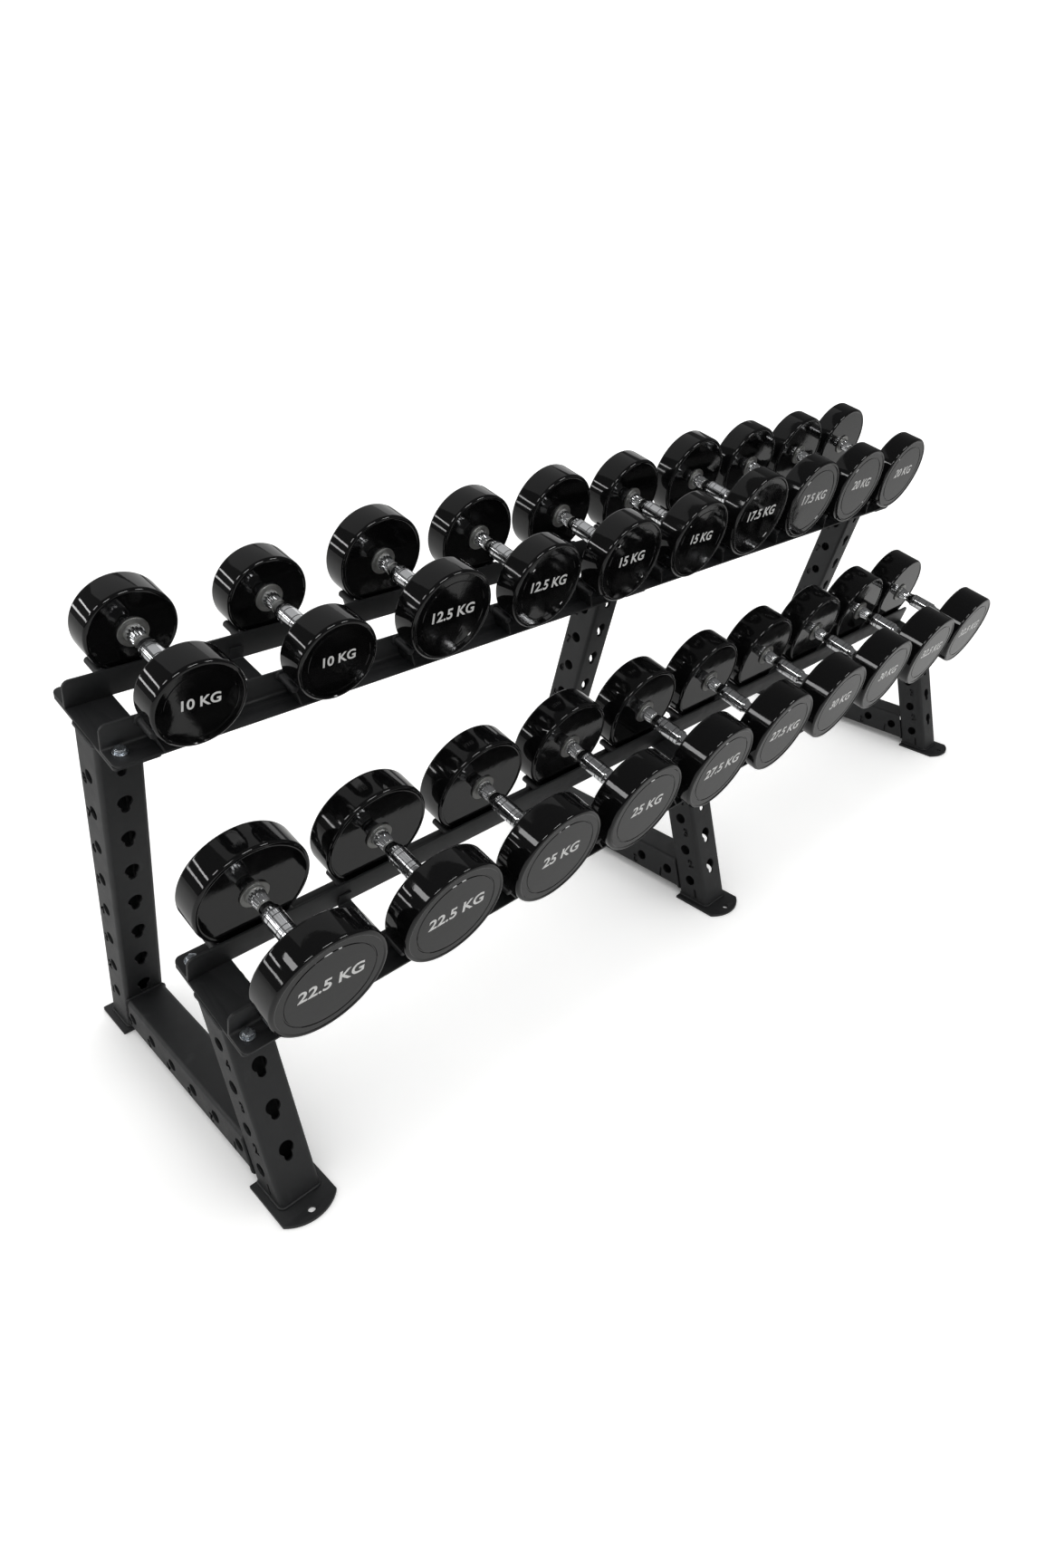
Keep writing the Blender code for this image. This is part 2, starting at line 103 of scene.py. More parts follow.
FOOT_THICKNESS = 0.006
ANCHOR_HOLE_RADIUS = 0.0065
FRONT_FOOT_BOW = 0.022
ANCHOR_HOLE_FORWARD = 0.004
REAR_FOOT_CORNER = 0.003
FOOT_EDGE = 0.0008

PLATE_DEPTH = 0.207
PLATE_THICKNESS = 0.006
PLATE_CORNER = 0.006
PLATE_EDGE = 0.0007

RAIL_THICKNESS = 0.005
RAIL_LEG = 0.050
FRONT_RAIL_U = -0.004
REAR_RAIL_U = 0.213
RAIL_END_ROUND = 0.012
RAIL_ROOT = 0.005  # fillet between the legs
RAIL_EDGE = 0.0008
BOLT_HOLE_RADIUS = 0.0065
BOLT_HOLE_LENGTH = 0.04
BOLT_U = {"front": 0.025, "rear": 0.192}

ROD_RADIUS = 0.007
ROD_AT = {"upper": (0.058, 0.042), "lower": (0.068, 0.037)}  # off a dumbbell's middle, and over the seats
ROD_REACH = 0.001
WING_THICKNESS = 0.003
WING_FOOT_HALF_SPAN = 0.043
WING_FOOT_HEIGHT = 0.8  # of the flat leg's thickness: where a wing ends inside it
WING_EDGE = 0.0005
ROD_ROOT = 0.6  # of the upright leg's thickness: where a rod ends inside it
ROD_EDGE = 0.0028
ROD_WELD_CLEAR = (0.0006, 0.0008)  # from the rod, and from the leg

STRAP_WIDTH = 0.026
STRAP_THICKNESS = 0.004
STRAP_TAB = 0.026
STRAP_BEND = 0.006
STRAP_EDGE = 0.0006

HEAD_SPACING = 0.152
HEAD_RIM = 0.0065
HEAD_LIP = 0.0016  # how far the middle of a face is sunk
HEAD_LIP_SLOPE = 0.0014
SHOULDER = 0.925  # of the head's radius: where the sunk face starts
FACE_GROOVE = 0.78  # of the head's radius
FACE_GROOVE_DEPTH = 0.0012
FACE_GROOVE_WIDTHS = (0.0032, 0.0016)  # at its top and its bottom
COLLAR_RADIUS = 0.0260
COLLAR_HEIGHT = 0.0018
COLLAR_STEP_RADIUS = 0.0176
COLLAR_STEP_HEIGHT = 0.0036
COLLAR_EDGE = 0.0005
NECK_START = 0.0030
NECK_RADII = (0.0163, 0.0125)
NECK_FLUTES = 14
FLUTE_DEPTH = 0.0013
WAIST = 0.0285
WAIST_BEAD = 0.0014
GRIP_START = 0.0455
GRIP_RADIUS = 0.0174
GRIP_END_ROUND = 0.0014
GROOVES = (0.0535, 0.0638)  # from a head's inner face
GROOVE_WIDTH = 0.0018
GROOVE_DEPTH = 0.0009
PAIR_WEIGHTS = {"upper": ("10", "12.5", "15", "17.5", "20"), "lower": ("22.5", "25", "27.5", "30", "32.5")}
NUMERAL_HEIGHT = 0.024  # on a head of the radius below
NUMERAL_RISE = 0.008
NUMERAL_HEAD_RADIUS = 0.1
NUMERAL_DEPTH = 0.0004
NUMERAL_WEIGHT = 0.03
NUMERAL_TIPS = (-2.0, 1.5, 0.5, -1.0, 2.5)  # degrees off level, in turn
FONT_SIZE = 1.4  # of a capital's height

WELD_RADIUS = 0.0032
WELD_STANDOFF = 0.45  # of its radius, from the joint
BEAD_STEP = 0.0012
BEAD_WAVES = ((0.10, 2.1, 0.0), (0.08, 0.37, 1.0))  # share of the radius, pace and start

# ---------------------------------------------------------------- materials


def new_material(name, colour, roughness, metallic=0.0, **sockets):
    """A Principled material, and its tree and shader for more detail."""
    material = bpy.data.materials.new(name)
    material.use_nodes = True
    tree = material.node_tree
    shader = tree.nodes["Principled BSDF"]
    shader.inputs["Base Color"].default_value = (*colour, 1.0)
    shader.inputs["Roughness"].default_value = roughness
    shader.inputs["Metallic"].default_value = metallic
    for socket, value in sockets.items():
        shader.inputs[socket.replace("_", " ")].default_value = value
    return material, tree, shader


def noise(tree, scale, detail, stretch=None):
    """A noise texture on object coordinates, stretched if asked."""
    texture = tree.nodes.new("ShaderNodeTexNoise")
    texture.inputs["Scale"].default_value = scale
    texture.inputs["Detail"].default_value = detail
    vector = tree.nodes.new("ShaderNodeTexCoord").outputs["Object"]
    if stretch:
        mapping = tree.nodes.new("ShaderNodeMapping")
        mapping.inputs["Scale"].default_value = stretch
        tree.links.new(vector, mapping.inputs["Vector"])
        vector = mapping.outputs["Vector"]
    tree.links.new(vector, texture.inputs["Vector"])
    return texture.outputs["Fac"]


def remap(tree, value, low, high, to_low, to_high):
    node = tree.nodes.new("ShaderNodeMapRange")
    for socket, number in zip(("From Min", "From Max", "To Min", "To Max"), (low, high, to_low, to_high)):
        node.inputs[socket].default_value = number
    tree.links.new(value, node.inputs["Value"])
    return node.outputs["Result"]


def blend_colour(tree, factor, first, second):
    node = tree.nodes.new("ShaderNodeMix")
    node.data_type = "RGBA"
    node.inputs["A"].default_value = (*first, 1.0)
    node.inputs["B"].default_value = (*second, 1.0)
    tree.links.new(factor, node.inputs["Factor"])
    return node.outputs["Result"]


def add_bump(tree, shader, height, strength, distance, after=None):
    bump = tree.nodes.new("ShaderNodeBump")
    bump.inputs["Strength"].default_value = strength
    bump.inputs["Distance"].default_value = distance
    tree.links.new(height, bump.inputs["Height"])
    if after is not None:
        tree.links.new(after, bump.inputs["Normal"])
    tree.links.new(bump.outputs["Normal"], shader.inputs["Normal"])
    return bump.outputs["Normal"]


def tint(tree, shader, factor, first, second):
    tree.links.new(blend_colour(tree, factor, first, second), shader.inputs["Base Color"])


def roughen(tree, shader, factor, low, high, smooth, rough):
    tree.links.new(remap(tree, factor, low, high, smooth, rough), shader.inputs["Roughness"])


def powder_coat():
    """Matte black powder coat: a fine orange-peel skin, faint mottling and a few paler scuffs."""
    material, tree, shader = new_material("powder_coat", (0.013, 0.0138, 0.015), 0.5)
    base = blend_colour(tree, noise(tree, 9.0, 5.0), (0.0118, 0.0126, 0.0137), (0.0145, 0.0153, 0.0166))
    scuffs = remap(tree, noise(tree, 26.0, 8.0, stretch=(1.0, 1.0, 0.25)), 0.66, 0.74, 0.0, 0.35)
    scuffed = tree.nodes.new("ShaderNodeMix")
    scuffed.data_type = "RGBA"
    scuffed.inputs["B"].default_value = (0.04, 0.041, 0.043, 1.0)
    tree.links.new(scuffs, scuffed.inputs["Factor"])
    tree.links.new(base, scuffed.inputs["A"])
    tree.links.new(scuffed.outputs["Result"], shader.inputs["Base Color"])
    roughen(tree, shader, noise(tree, 35.0, 6.0), 0.3, 0.7, 0.48, 0.56)
    fine = add_bump(tree, shader, noise(tree, 1400.0, 2.0), 0.35, 0.0004)
    add_bump(tree, shader, noise(tree, 420.0, 2.0), 0.25, 0.0006, fine)
    return material


def gloss_black():
    """Gloss black urethane: slow waves in its moulded skin, faint handling marks and dust in the gloss."""
    material, tree, shader = new_material("gloss_black", (0.003, 0.003, 0.0033), 0.07, IOR=1.45)
    smears = noise(tree, 26.0, 6.0, stretch=(1.0, 0.35, 1.0))
    dust = noise(tree, 900.0, 2.0)
    tint(tree, shader, dust, (0.0018, 0.0018, 0.002), (0.0048, 0.0048, 0.005))
    roughen(tree, shader, smears, 0.40, 0.75, 0.035, 0.12)
    waves = add_bump(tree, shader, noise(tree, 34.0, 2.0), 0.10, 0.0015)
    add_bump(tree, shader, noise(tree, 260.0, 2.0), 0.05, 0.0004, waves)
    return material


def chrome():
    """Bright chrome with a few dull smudges and slow waves in the plating."""
    material, tree, shader = new_material("chrome", (0.78, 0.79, 0.8), 0.12, 1.0)
    smudges = noise(tree, 45.0, 5.0)
    roughen(tree, shader, smudges, 0.35, 0.75, 0.07, 0.2)
    tint(tree, shader, smudges, (0.74, 0.75, 0.77), (0.84, 0.85, 0.86))
    add_bump(tree, shader, noise(tree, 90.0, 2.0), 0.03, 0.0004)
    return material


def turned_steel():
    """Grey turned steel with a fine grain and darker patches."""
    material, tree, shader = new_material("turned_steel", (0.36, 0.36, 0.35), 0.42, 1.0)
    patches = noise(tree, 70.0, 5.0)
    tint(tree, shader, patches, (0.22, 0.22, 0.21), (0.42, 0.42, 0.41))
    roughen(tree, shader, patches, 0.3, 0.7, 0.34, 0.55)
    add_bump(tree, shader, noise(tree, 700.0, 2.0), 0.2, 0.0003)
    return material


def zinc():
    """Bright zinc plate with a blue tinge and a slight crystal mottle."""
    material, tree, shader = new_material("zinc", (0.62, 0.66, 0.7), 0.28, 1.0)
    mottle = noise(tree, 260.0, 4.0)
    tint(tree, shader, mottle, (0.48, 0.53, 0.6), (0.76, 0.79, 0.8))
    roughen(tree, shader, mottle, 0.3, 0.7, 0.2, 0.4)
    add_bump(tree, shader, mottle, 0.12, 0.0003)
    return material


def printed_white():
    """White printing ink, slightly uneven in cover."""
    material, tree, shader = new_material("printed_white", (0.8, 0.8, 0.79), 0.4)
    cover = noise(tree, 500.0, 4.0)
    tint(tree, shader, cover, (0.7, 0.7, 0.69), (0.86, 0.86, 0.85))
    roughen(tree, shader, cover, 0.3, 0.7, 0.32, 0.5)
    add_bump(tree, shader, cover, 0.1, 0.0002)
    return material


def ring_and_digit_shade_material():
    """The dark rings in the grip's grooves, and painted shade on the floors of the cut numbers."""
    material, tree, shader = new_material("grip_rings_and_digit_shade", (0.012, 0.012, 0.013), 0.6)
    grain = noise(tree, 800.0, 3.0)
    tint(tree, shader, grain, (0.008, 0.008, 0.009), (0.02, 0.02, 0.021))
    add_bump(tree, shader, grain, 0.2, 0.0003)
    return material


POWDER_COAT = powder_coat()
GLOSS_BLACK = gloss_black()
CHROME = chrome()
STEEL = turned_steel()
ZINC = zinc()
WHITE_INK = printed_white()
# the grip's dark rings, and painted shade in the cut numbers
RING_AND_DIGIT_SHADE = ring_and_digit_shade_material()

# ---------------------------------------------------------------- mesh helpers


def arc(centre, radius, start, end, steps):
    """Points along an arc, from the start angle to the end angle in degrees."""
    angles = [math.radians(start + (end - start) * i / steps) for i in range(steps + 1)]
    return [(centre[0] + radius * math.cos(a), centre[1] + radius * math.sin(a)) for a in angles]


def circle(radius, sides=40):
    return arc((0, 0), radius, 0, 360 * (sides - 1) / sides, sides - 1)


def rounded_rectangle(width, height, radius, steps=8):
    """Outline about the origin, each corner an arc."""
    outline = []
    for turn, (side_x, side_y) in enumerate(((1, 1), (-1, 1), (-1, -1), (1, -1))):
        centre = (side_x * (width / 2 - radius), side_y * (height / 2 - radius))
        outline += arc(centre, radius, 90 * turn, 90 * turn + 90, steps)
    return outline


def realised(drawn):
    """The evaluated mesh of a scratch object, welded, with the object removed."""
    graph = bpy.context.evaluated_depsgraph_get()
    mesh = bpy.data.meshes.new_from_object(drawn.evaluated_get(graph))
    bpy.data.objects.remove(drawn, do_unlink=True)
    welded = bmesh.new()
    welded.from_mesh(mesh)
    bmesh.ops.remove_doubles(welded, verts=welded.verts, dist=0.00001)
    bmesh.ops.recalc_face_normals(welded, faces=welded.faces)
    welded.to_mesh(mesh)
    welded.free()
    mesh.materials.clear()
    return mesh


def scratch(data):
    drawn = bpy.data.objects.new("scratch", data)
    bpy.context.scene.collection.objects.link(drawn)
    return drawn


def extruded(outlines, length):
    """Flat outlines in XY, an outer one and any holes, extruded along Z about the middle."""
    curve = bpy.data.curves.new("outline", "CURVE")
    curve.dimensions = "2D"
    curve.fill_mode = "BOTH"
    curve.extrude = length / 2
    for outline in outlines:
        spline = curve.splines.new("POLY")
        spline.points.add(len(outline) - 1)
        spline.use_cyclic_u = True
        for point, (x, y) in zip(spline.points, outline):
            point.co = (x, y, 0.0, 1.0)
    return realised(scratch(curve))


def lettering(text, height, depth, weight):
    """Plain lettering in XY about the origin, depth thick along Z, its strokes fattened by weight."""
    curve = bpy.data.curves.new("lettering", "FONT")
    curve.body = text
    curve.size = height * FONT_SIZE
    curve.align_x = "CENTER"
    curve.align_y = "CENTER"
    curve.extrude = depth / 2
    curve.offset = height * weight
    curve.resolution_u = 6
    mesh = realised(scratch(curve))
    xs = [v.co.x for v in mesh.vertices]
    ys = [v.co.y for v in mesh.vertices]
    mesh.transform(Matrix.Translation((-(min(xs) + max(xs)) / 2, -(min(ys) + max(ys)) / 2, 0)))
    return mesh


def turned(profile, sides=96, flutes=0, flute_depth=0.0):
    """A solid of revolution about Z from (radius, height) points, top to bottom, with flutes if asked."""
    spun = bmesh.new()
    rings = []
    for radius, height in profile:
        if radius == 0.0:
            rings.append([spun.verts.new((0.0, 0.0, height))])
            continue
        ring = []
        for side in range(sides):
            angle = 2 * math.pi * side / sides
            reach = radius - flute_depth * max(0.0, math.cos(angle * flutes))
            ring.append(spun.verts.new((reach * math.cos(angle), reach * math.sin(angle), height)))
        rings.append(ring)
    for above, below in zip(rings, rings[1:]):
        for side in range(sides):
            after = (side + 1) % sides
            corners = [above[side % len(above)], below[side % len(below)]]
            corners += [below[after % len(below)], above[after % len(above)]]
            distinct = list(dict.fromkeys(corners))
            if len(distinct) < 3:
                continue
            spun.faces.new(distinct)
    bmesh.ops.recalc_face_normals(spun, faces=spun.faces)
    mesh = bpy.data.meshes.new("turned")
    spun.to_mesh(mesh)
    spun.free()
    return mesh


def gathered(name, pieces):
    """One mesh from (mesh, matrix) pairs."""
    joined = bmesh.new()
    for mesh, matrix in pieces:
        first_vert = len(joined.verts)
        joined.from_mesh(mesh)
        joined.verts.ensure_lookup_table()
        bmesh.ops.transform(joined, matrix=matrix, verts=joined.verts[first_vert:])
    result = bpy.data.meshes.new(name)
    joined.to_mesh(result)
    joined.free()
    return result


def cut(mesh, cutter):
    """The mesh with the cutter's volume taken away."""
    piece, tool = scratch(mesh), scratch(cutter)
    modifier = piece.modifiers.new("cut", "BOOLEAN")
    modifier.operation = "DIFFERENCE"
    modifier.solver = "EXACT"
    modifier.use_self = True
    modifier.object = tool
    result = realised(piece)
    bpy.data.objects.remove(tool, do_unlink=True)
    return result


def bevelled(mesh, width, segments=2, angle=32):
    """The mesh with its sharp edges rounded."""
    piece = scratch(mesh)
    modifier = piece.modifiers.new("edges", "BEVEL")
    modifier.width = width
    modifier.segments = segments
    modifier.limit_method = "ANGLE"
    modifier.angle_limit = math.radians(angle)
    modifier.use_clamp_overlap = True
    return realised(piece)


def place(name, mesh, materials, body="rack", nodes=(), sharp=38):
    """A finished piece, shaded smooth between sharp edges, riding on a body and standing for nodes."""
    mesh.name = name
    mesh.shade_smooth()
    mesh.set_sharp_from_angle(angle=math.radians(sharp))
    for material in materials:
        mesh.materials.append(material)
    piece = bpy.data.objects.new(name, mesh)
    bpy.context.scene.collection.objects.link(piece)
    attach(piece, body)
    if nodes:
        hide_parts(*nodes)
    return piece


# ---------------------------------------------------------------- where things are

ALONG_X = Matrix.Rotation(math.radians(90), 4, "Y")
FACING_FRONT = Matrix.Rotation(math.radians(90), 4, "X")
LYING = Matrix.Rotation(math.radians(-90), 4, "X")


def centre(node):
    low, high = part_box(node)
    return (Vector(low) + Vector(high)) / 2


def extent(node):
    low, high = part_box(node)
    return Vector(high) - Vector(low)


UP_FROM_PLATE = Vector(next(joint["axis"] for joint in frame["joints"])).normalized()
TILT = math.atan2(-UP_FROM_PLATE.y, UP_FROM_PLATE.z)
ALONG_PLATE = Vector((0.0, math.cos(TILT), math.sin(TILT)))
FRAME_X = {name: centre(name + "_rear_post").x for name in FRAMES}


def tier_frame(tier):
    """Matrix of a tier's axes, from the front edge of the seat plates' top faces at mid length."""
    middle = centre(f"middle_{tier}_plate")
    origin = middle - ALONG_PLATE * (PLATE_DEPTH / 2) + UP_FROM_PLATE * (PLATE_THICKNESS / 2)
    origin.x = 0.0
    return Matrix.Translation(origin) @ Matrix.Rotation(TILT, 4, "X")


TIER = {tier: tier_frame(tier) for tier in TIERS}
RAIL_LENGTH = extent("upper_front_rail").x


def lean(angle, y):
    """Frame of a post: its local Z runs up the post, and its front face meets the floor at y."""
    turn = Matrix.Rotation(angle, 4, "X")
    return Matrix.Translation((0, y, 0)) @ turn @ Matrix.Translation((0, TUBE / 2, 0))


REAR_POST = lean(POST_LEAN, REAR_POST_Y)
FRONT_POST = lean(FRONT_POST_LEAN, FRONT_POST_Y)
BASE_TUBE = Matrix.Translation((0, 0, BASE_TUBE_BOTTOM + TUBE / 2)) @ LYING

# ---------------------------------------------------------------- frames


def tube_mesh(bottom, top):
    """A square hollow tube along Z, its ends on two planes, each given as (point, normal)."""
    inside = TUBE - 2 * TUBE_WALL
    outlines = (
        rounded_rectangle(TUBE, TUBE, TUBE_CORNER),
        rounded_rectangle(inside, inside, TUBE_CORNER - TUBE_WALL),
    )
    mesh = extruded(outlines, 0.2)
    for vertex in mesh.vertices:
        point, normal = top if vertex.co.z > 0 else bottom
        vertex.co.z = normal.dot(point - Vector((vertex.co.x, vertex.co.y, 0.0))) / normal.z
    return mesh


def keyhole_outline():
    """A round hole with a narrower slot below it, for a hook to drop into."""
    half_angle = math.degrees(math.asin(KEYHOLE_SLOT_RADIUS / KEYHOLE_RADIUS))
    upper = arc((0, 0), KEYHOLE_RADIUS, half_angle - 90, 270 - half_angle, 32)
    return upper + arc((0, -KEYHOLE_DROP), KEYHOLE_SLOT_RADIUS, 180, 360, 16)


def digit_cutters(holes, offset, turn):
    """Shallow numbers cut beside each hole, upright along the tube, on both of its side walls."""
    first, count = holes
    placed = []
    for i in range(count):
        digit = lettering(str(i + 1), DIGIT_HEIGHT, 2 * DIGIT_DEPTH, DIGIT_WEIGHT)
        for side in (-1, 1):
            at = Matrix.Translation((side * TUBE / 2, offset[0], first + HOLE_PITCH * i + offset[1]))
            upright = Matrix.Rotation(math.radians(90 * side), 4, "Z") @ FACING_FRONT
            roll = Matrix.Rotation(math.radians(turn * -side), 4, "Z")
            placed.append((digit, at @ upright @ roll))
    return placed


def shade_digit_floors(mesh, middle_x):
    """Painted shade: dark material on the floors of the cut numbers, for the shade down in them."""
    depth_x = TUBE / 2 - DIGIT_DEPTH
    for face in mesh.polygons:
        if abs(face.normal.x) > 0.99 and abs(abs(face.center.x - middle_x) - depth_x) < GAP / 3:
            face.material_index = 1


def tube_cutter(holes, keyholes, digit_offset, digit_turn=0):
    """Everything cut from a tube: side holes, keyholes in the front wall, and the digits."""
    bar = extruded((circle(HOLE_RADIUS),), 2 * TUBE)
    key = extruded((keyhole_outline(),), KEYHOLE_CUT_DEPTH)
    placed = [
        (bar, Matrix.Translation((0, 0, holes[0] + HOLE_PITCH * i)) @ ALONG_X) for i in range(holes[1])
    ]
    placed += [
        (key, Matrix.Translation((0, -TUBE / 2, keyholes[0] + HOLE_PITCH * i)) @ FACING_FRONT)
        for i in range(keyholes[1])
    ]
    return gathered("cutter", placed + digit_cutters(holes, digit_offset, digit_turn))


def post_mesh(placed, tier, cutter):
    """A post from its foot plate up to the underside of a tier's seat plate, with its holes."""
    inverse = placed.inverted()
    turn = inverse.to_3x3()
    up = Vector((0, 0, 1))
    under_plate = TIER[tier] @ Vector((0, 0, -PLATE_THICKNESS - GAP))
    bottom = (inverse @ (up * (FOOT_THICKNESS + GAP)), turn @ up)
    top = (inverse @ under_plate, turn @ UP_FROM_PLATE)
    return cut(tube_mesh(bottom, top), cutter)


def base_tube_mesh():
    """The base tube, its ends mitred against the two posts."""
    inverse = BASE_TUBE.inverted()
    turn = inverse.to_3x3()
    front_normal = FRONT_POST.to_3x3() @ Vector((0, 1, 0))
    rear_normal = REAR_POST.to_3x3() @ Vector((0, 1, 0))
    front_end = (inverse @ (FRONT_POST @ Vector((0, TUBE / 2 + GAP, 0))), turn @ front_normal)
    rear_end = (inverse @ (REAR_POST @ Vector((0, -TUBE / 2 - GAP, 0))), turn @ rear_normal)
    cutter = tube_cutter(BASE_TUBE_HOLES, (0, 0), BASE_TUBE_DIGITS, 90)
    return cut(tube_mesh(front_end, rear_end), cutter)


def bead_mesh(loop):
    """A weld bead round a loop of points: a ripple every few millimetres, as laid by hand."""
    path = []
    for start, end in zip(loop, loop[1:] + loop[:1]):
        steps = max(1, round((end - start).length / BEAD_STEP))
        path += [start.lerp(end, i / steps) for i in range(steps)]
    curve = bpy.data.curves.new("bead", "CURVE")
    curve.dimensions = "3D"
    curve.bevel_depth = WELD_RADIUS
    curve.bevel_resolution = 2
    spline = curve.splines.new("POLY")
    spline.points.add(len(path) - 1)
    spline.use_cyclic_u = True
    for i, (point, at) in enumerate(zip(spline.points, path)):
        point.co = (*at, 1.0)
        point.radius = 1.0 + sum(share * math.sin(pace * i + start) for share, pace, start in BEAD_WAVES)
    return realised(scratch(curve))


def section_on_plane(placed, point, normal):
    """The tube's outline in its own frame, carried along its axis to a plane given in the rack's frame."""
    inverse = placed.inverted()
    local_point, local_normal = inverse @ point, inverse.to_3x3() @ normal
    loop = []
    for x, y in rounded_rectangle(TUBE, TUBE, TUBE_CORNER, 5):
        along = local_normal.dot(local_point - Vector((x, y, 0.0))) / local_normal.z
        loop.append(placed @ Vector((x, y, along)))
    return loop


def frame_welds():
    """The beads of one frame: post feet, post tops, and both ends of the base tube."""
    up = Vector((0, 0, 1))
    clear = WELD_RADIUS * WELD_STANDOFF
    under_plate = Vector((0, 0, -PLATE_THICKNESS - clear))
    rear_face = REAR_POST @ Vector((0, -TUBE / 2 - clear, 0))
    front_face = FRONT_POST @ Vector((0, TUBE / 2 + clear, 0))
    loops = [
        section_on_plane(REAR_POST, up * (FOOT_THICKNESS + clear), up),
        section_on_plane(FRONT_POST, up * (FOOT_THICKNESS + clear), up),
        section_on_plane(REAR_POST, TIER["upper"] @ under_plate, UP_FROM_PLATE),
        section_on_plane(FRONT_POST, TIER["lower"] @ under_plate, UP_FROM_PLATE),
        section_on_plane(BASE_TUBE, rear_face, REAR_POST.to_3x3() @ Vector((0, 1, 0))),
        section_on_plane(BASE_TUBE, front_face, FRONT_POST.to_3x3() @ Vector((0, 1, 0))),
    ]
    return gathered("welds", [(bead_mesh(loop), Matrix()) for loop in loops])


def foot_mesh(node, bow):
    """A foot plate: rounded corners, or a front edge bowed out by bow and an anchor hole."""
    size = extent(node)
    middle = centre(node)
    half = size.x / 2
    rear, front = middle.y + size.y / 2, middle.y - size.y / 2 + bow
    if bow:
        radius = (half * half + bow * bow) / (2 * bow)
        spread = math.degrees(math.asin(half / radius))
        bowed = arc((0, front - bow + radius), radius, -90 - spread, -90 + spread, 40)
        outline = [(half, rear), (-half, rear)] + bowed
        hole = [(x, y + front - ANCHOR_HOLE_FORWARD) for x, y in circle(ANCHOR_HOLE_RADIUS)]
        outlines = (outline, hole)
    else:
        corners = rounded_rectangle(size.x, size.y, REAR_FOOT_CORNER, 4)
        outlines = ([(x, y + middle.y) for x, y in corners],)
    return bevelled(extruded(outlines, FOOT_THICKNESS), FOOT_EDGE)


def bolt_x(name):
    return centre(f"{name}_upper_front_bolt").x


def plate_mesh(name):
    """A seat plate in tier axes, with its bolt holes."""
    x = FRAME_X[name]
    corners = rounded_rectangle(TUBE, PLATE_DEPTH, PLATE_CORNER)
    outline = [(px + x, pu + PLATE_DEPTH / 2) for px, pu in corners]
    holes = [[(px + bolt_x(name), pu + u) for px, pu in circle(BOLT_HOLE_RADIUS)] for u in BOLT_U.values()]
    mesh = extruded((outline, *holes), PLATE_THICKNESS)
    mesh.transform(Matrix.Translation((0, 0, -PLATE_THICKNESS / 2)))
    return bevelled(mesh, PLATE_EDGE)


rear_cutter = tube_cutter(REAR_POST_HOLES, REAR_POST_KEYHOLES, REAR_POST_DIGITS)
rear_post_shape = post_mesh(REAR_POST, "upper", rear_cutter)
front_cutter = tube_cutter(FRONT_POST_HOLES, FRONT_POST_KEYHOLES, FRONT_POST_DIGITS)
front_post_shape = post_mesh(FRONT_POST, "lower", front_cutter)
base_tube_shape = base_tube_mesh()
weld_shape = frame_welds()

for name in FRAMES:
    shift = Matrix.Translation((FRAME_X[name], 0, 0))
    for piece, shape, placed in (
        ("rear_post", rear_post_shape, REAR_POST),
        ("front_post", front_post_shape, FRONT_POST),
        ("base_tube", base_tube_shape, BASE_TUBE),
    ):
        node = f"{name}_{piece}"
        mesh = gathered(node, [(shape, shift @ placed)])
        # the second material paints shade on the floors of the cut numbers
        skin = place(node + "_skin", mesh, [POWDER_COAT, RING_AND_DIGIT_SHADE], nodes=[node])
        shade_digit_floors(skin.data, FRAME_X[name])
    place(name + "_welds", gathered(name + "_welds", [(weld_shape, shift)]), [POWDER_COAT], sharp=70)
    for piece, bow in (("rear_foot", 0.0), ("front_foot", FRONT_FOOT_BOW)):
        node = f"{name}_{piece}"
        on_floor = shift @ Matrix.Translation((0, 0, FOOT_THICKNESS / 2))
        mesh = gathered(node, [(foot_mesh(node, bow), on_floor)])
        place(node + "_skin", mesh, [POWDER_COAT], nodes=[node])
    for tier in TIERS:
        node = f"{name}_{tier}_plate"
        place(node + "_skin", gathered(node, [(plate_mesh(name), TIER[tier])]), [POWDER_COAT], nodes=[node])

# ---------------------------------------------------------------- rails and cradles

# A prism drawn in U and N, then laid along X.
SECTION_TO_TIER = Matrix(((0, 0, 1, 0), (1, 0, 0, 0), (0, 1, 0, 0), (0, 0, 0, 1)))
# A prism drawn in X and N, then laid along U.
ACROSS_TO_TIER = Matrix(((1, 0, 0, 0), (0, 0, -1, 0), (0, 1, 0, 0), (0, 0, 0, 1)))


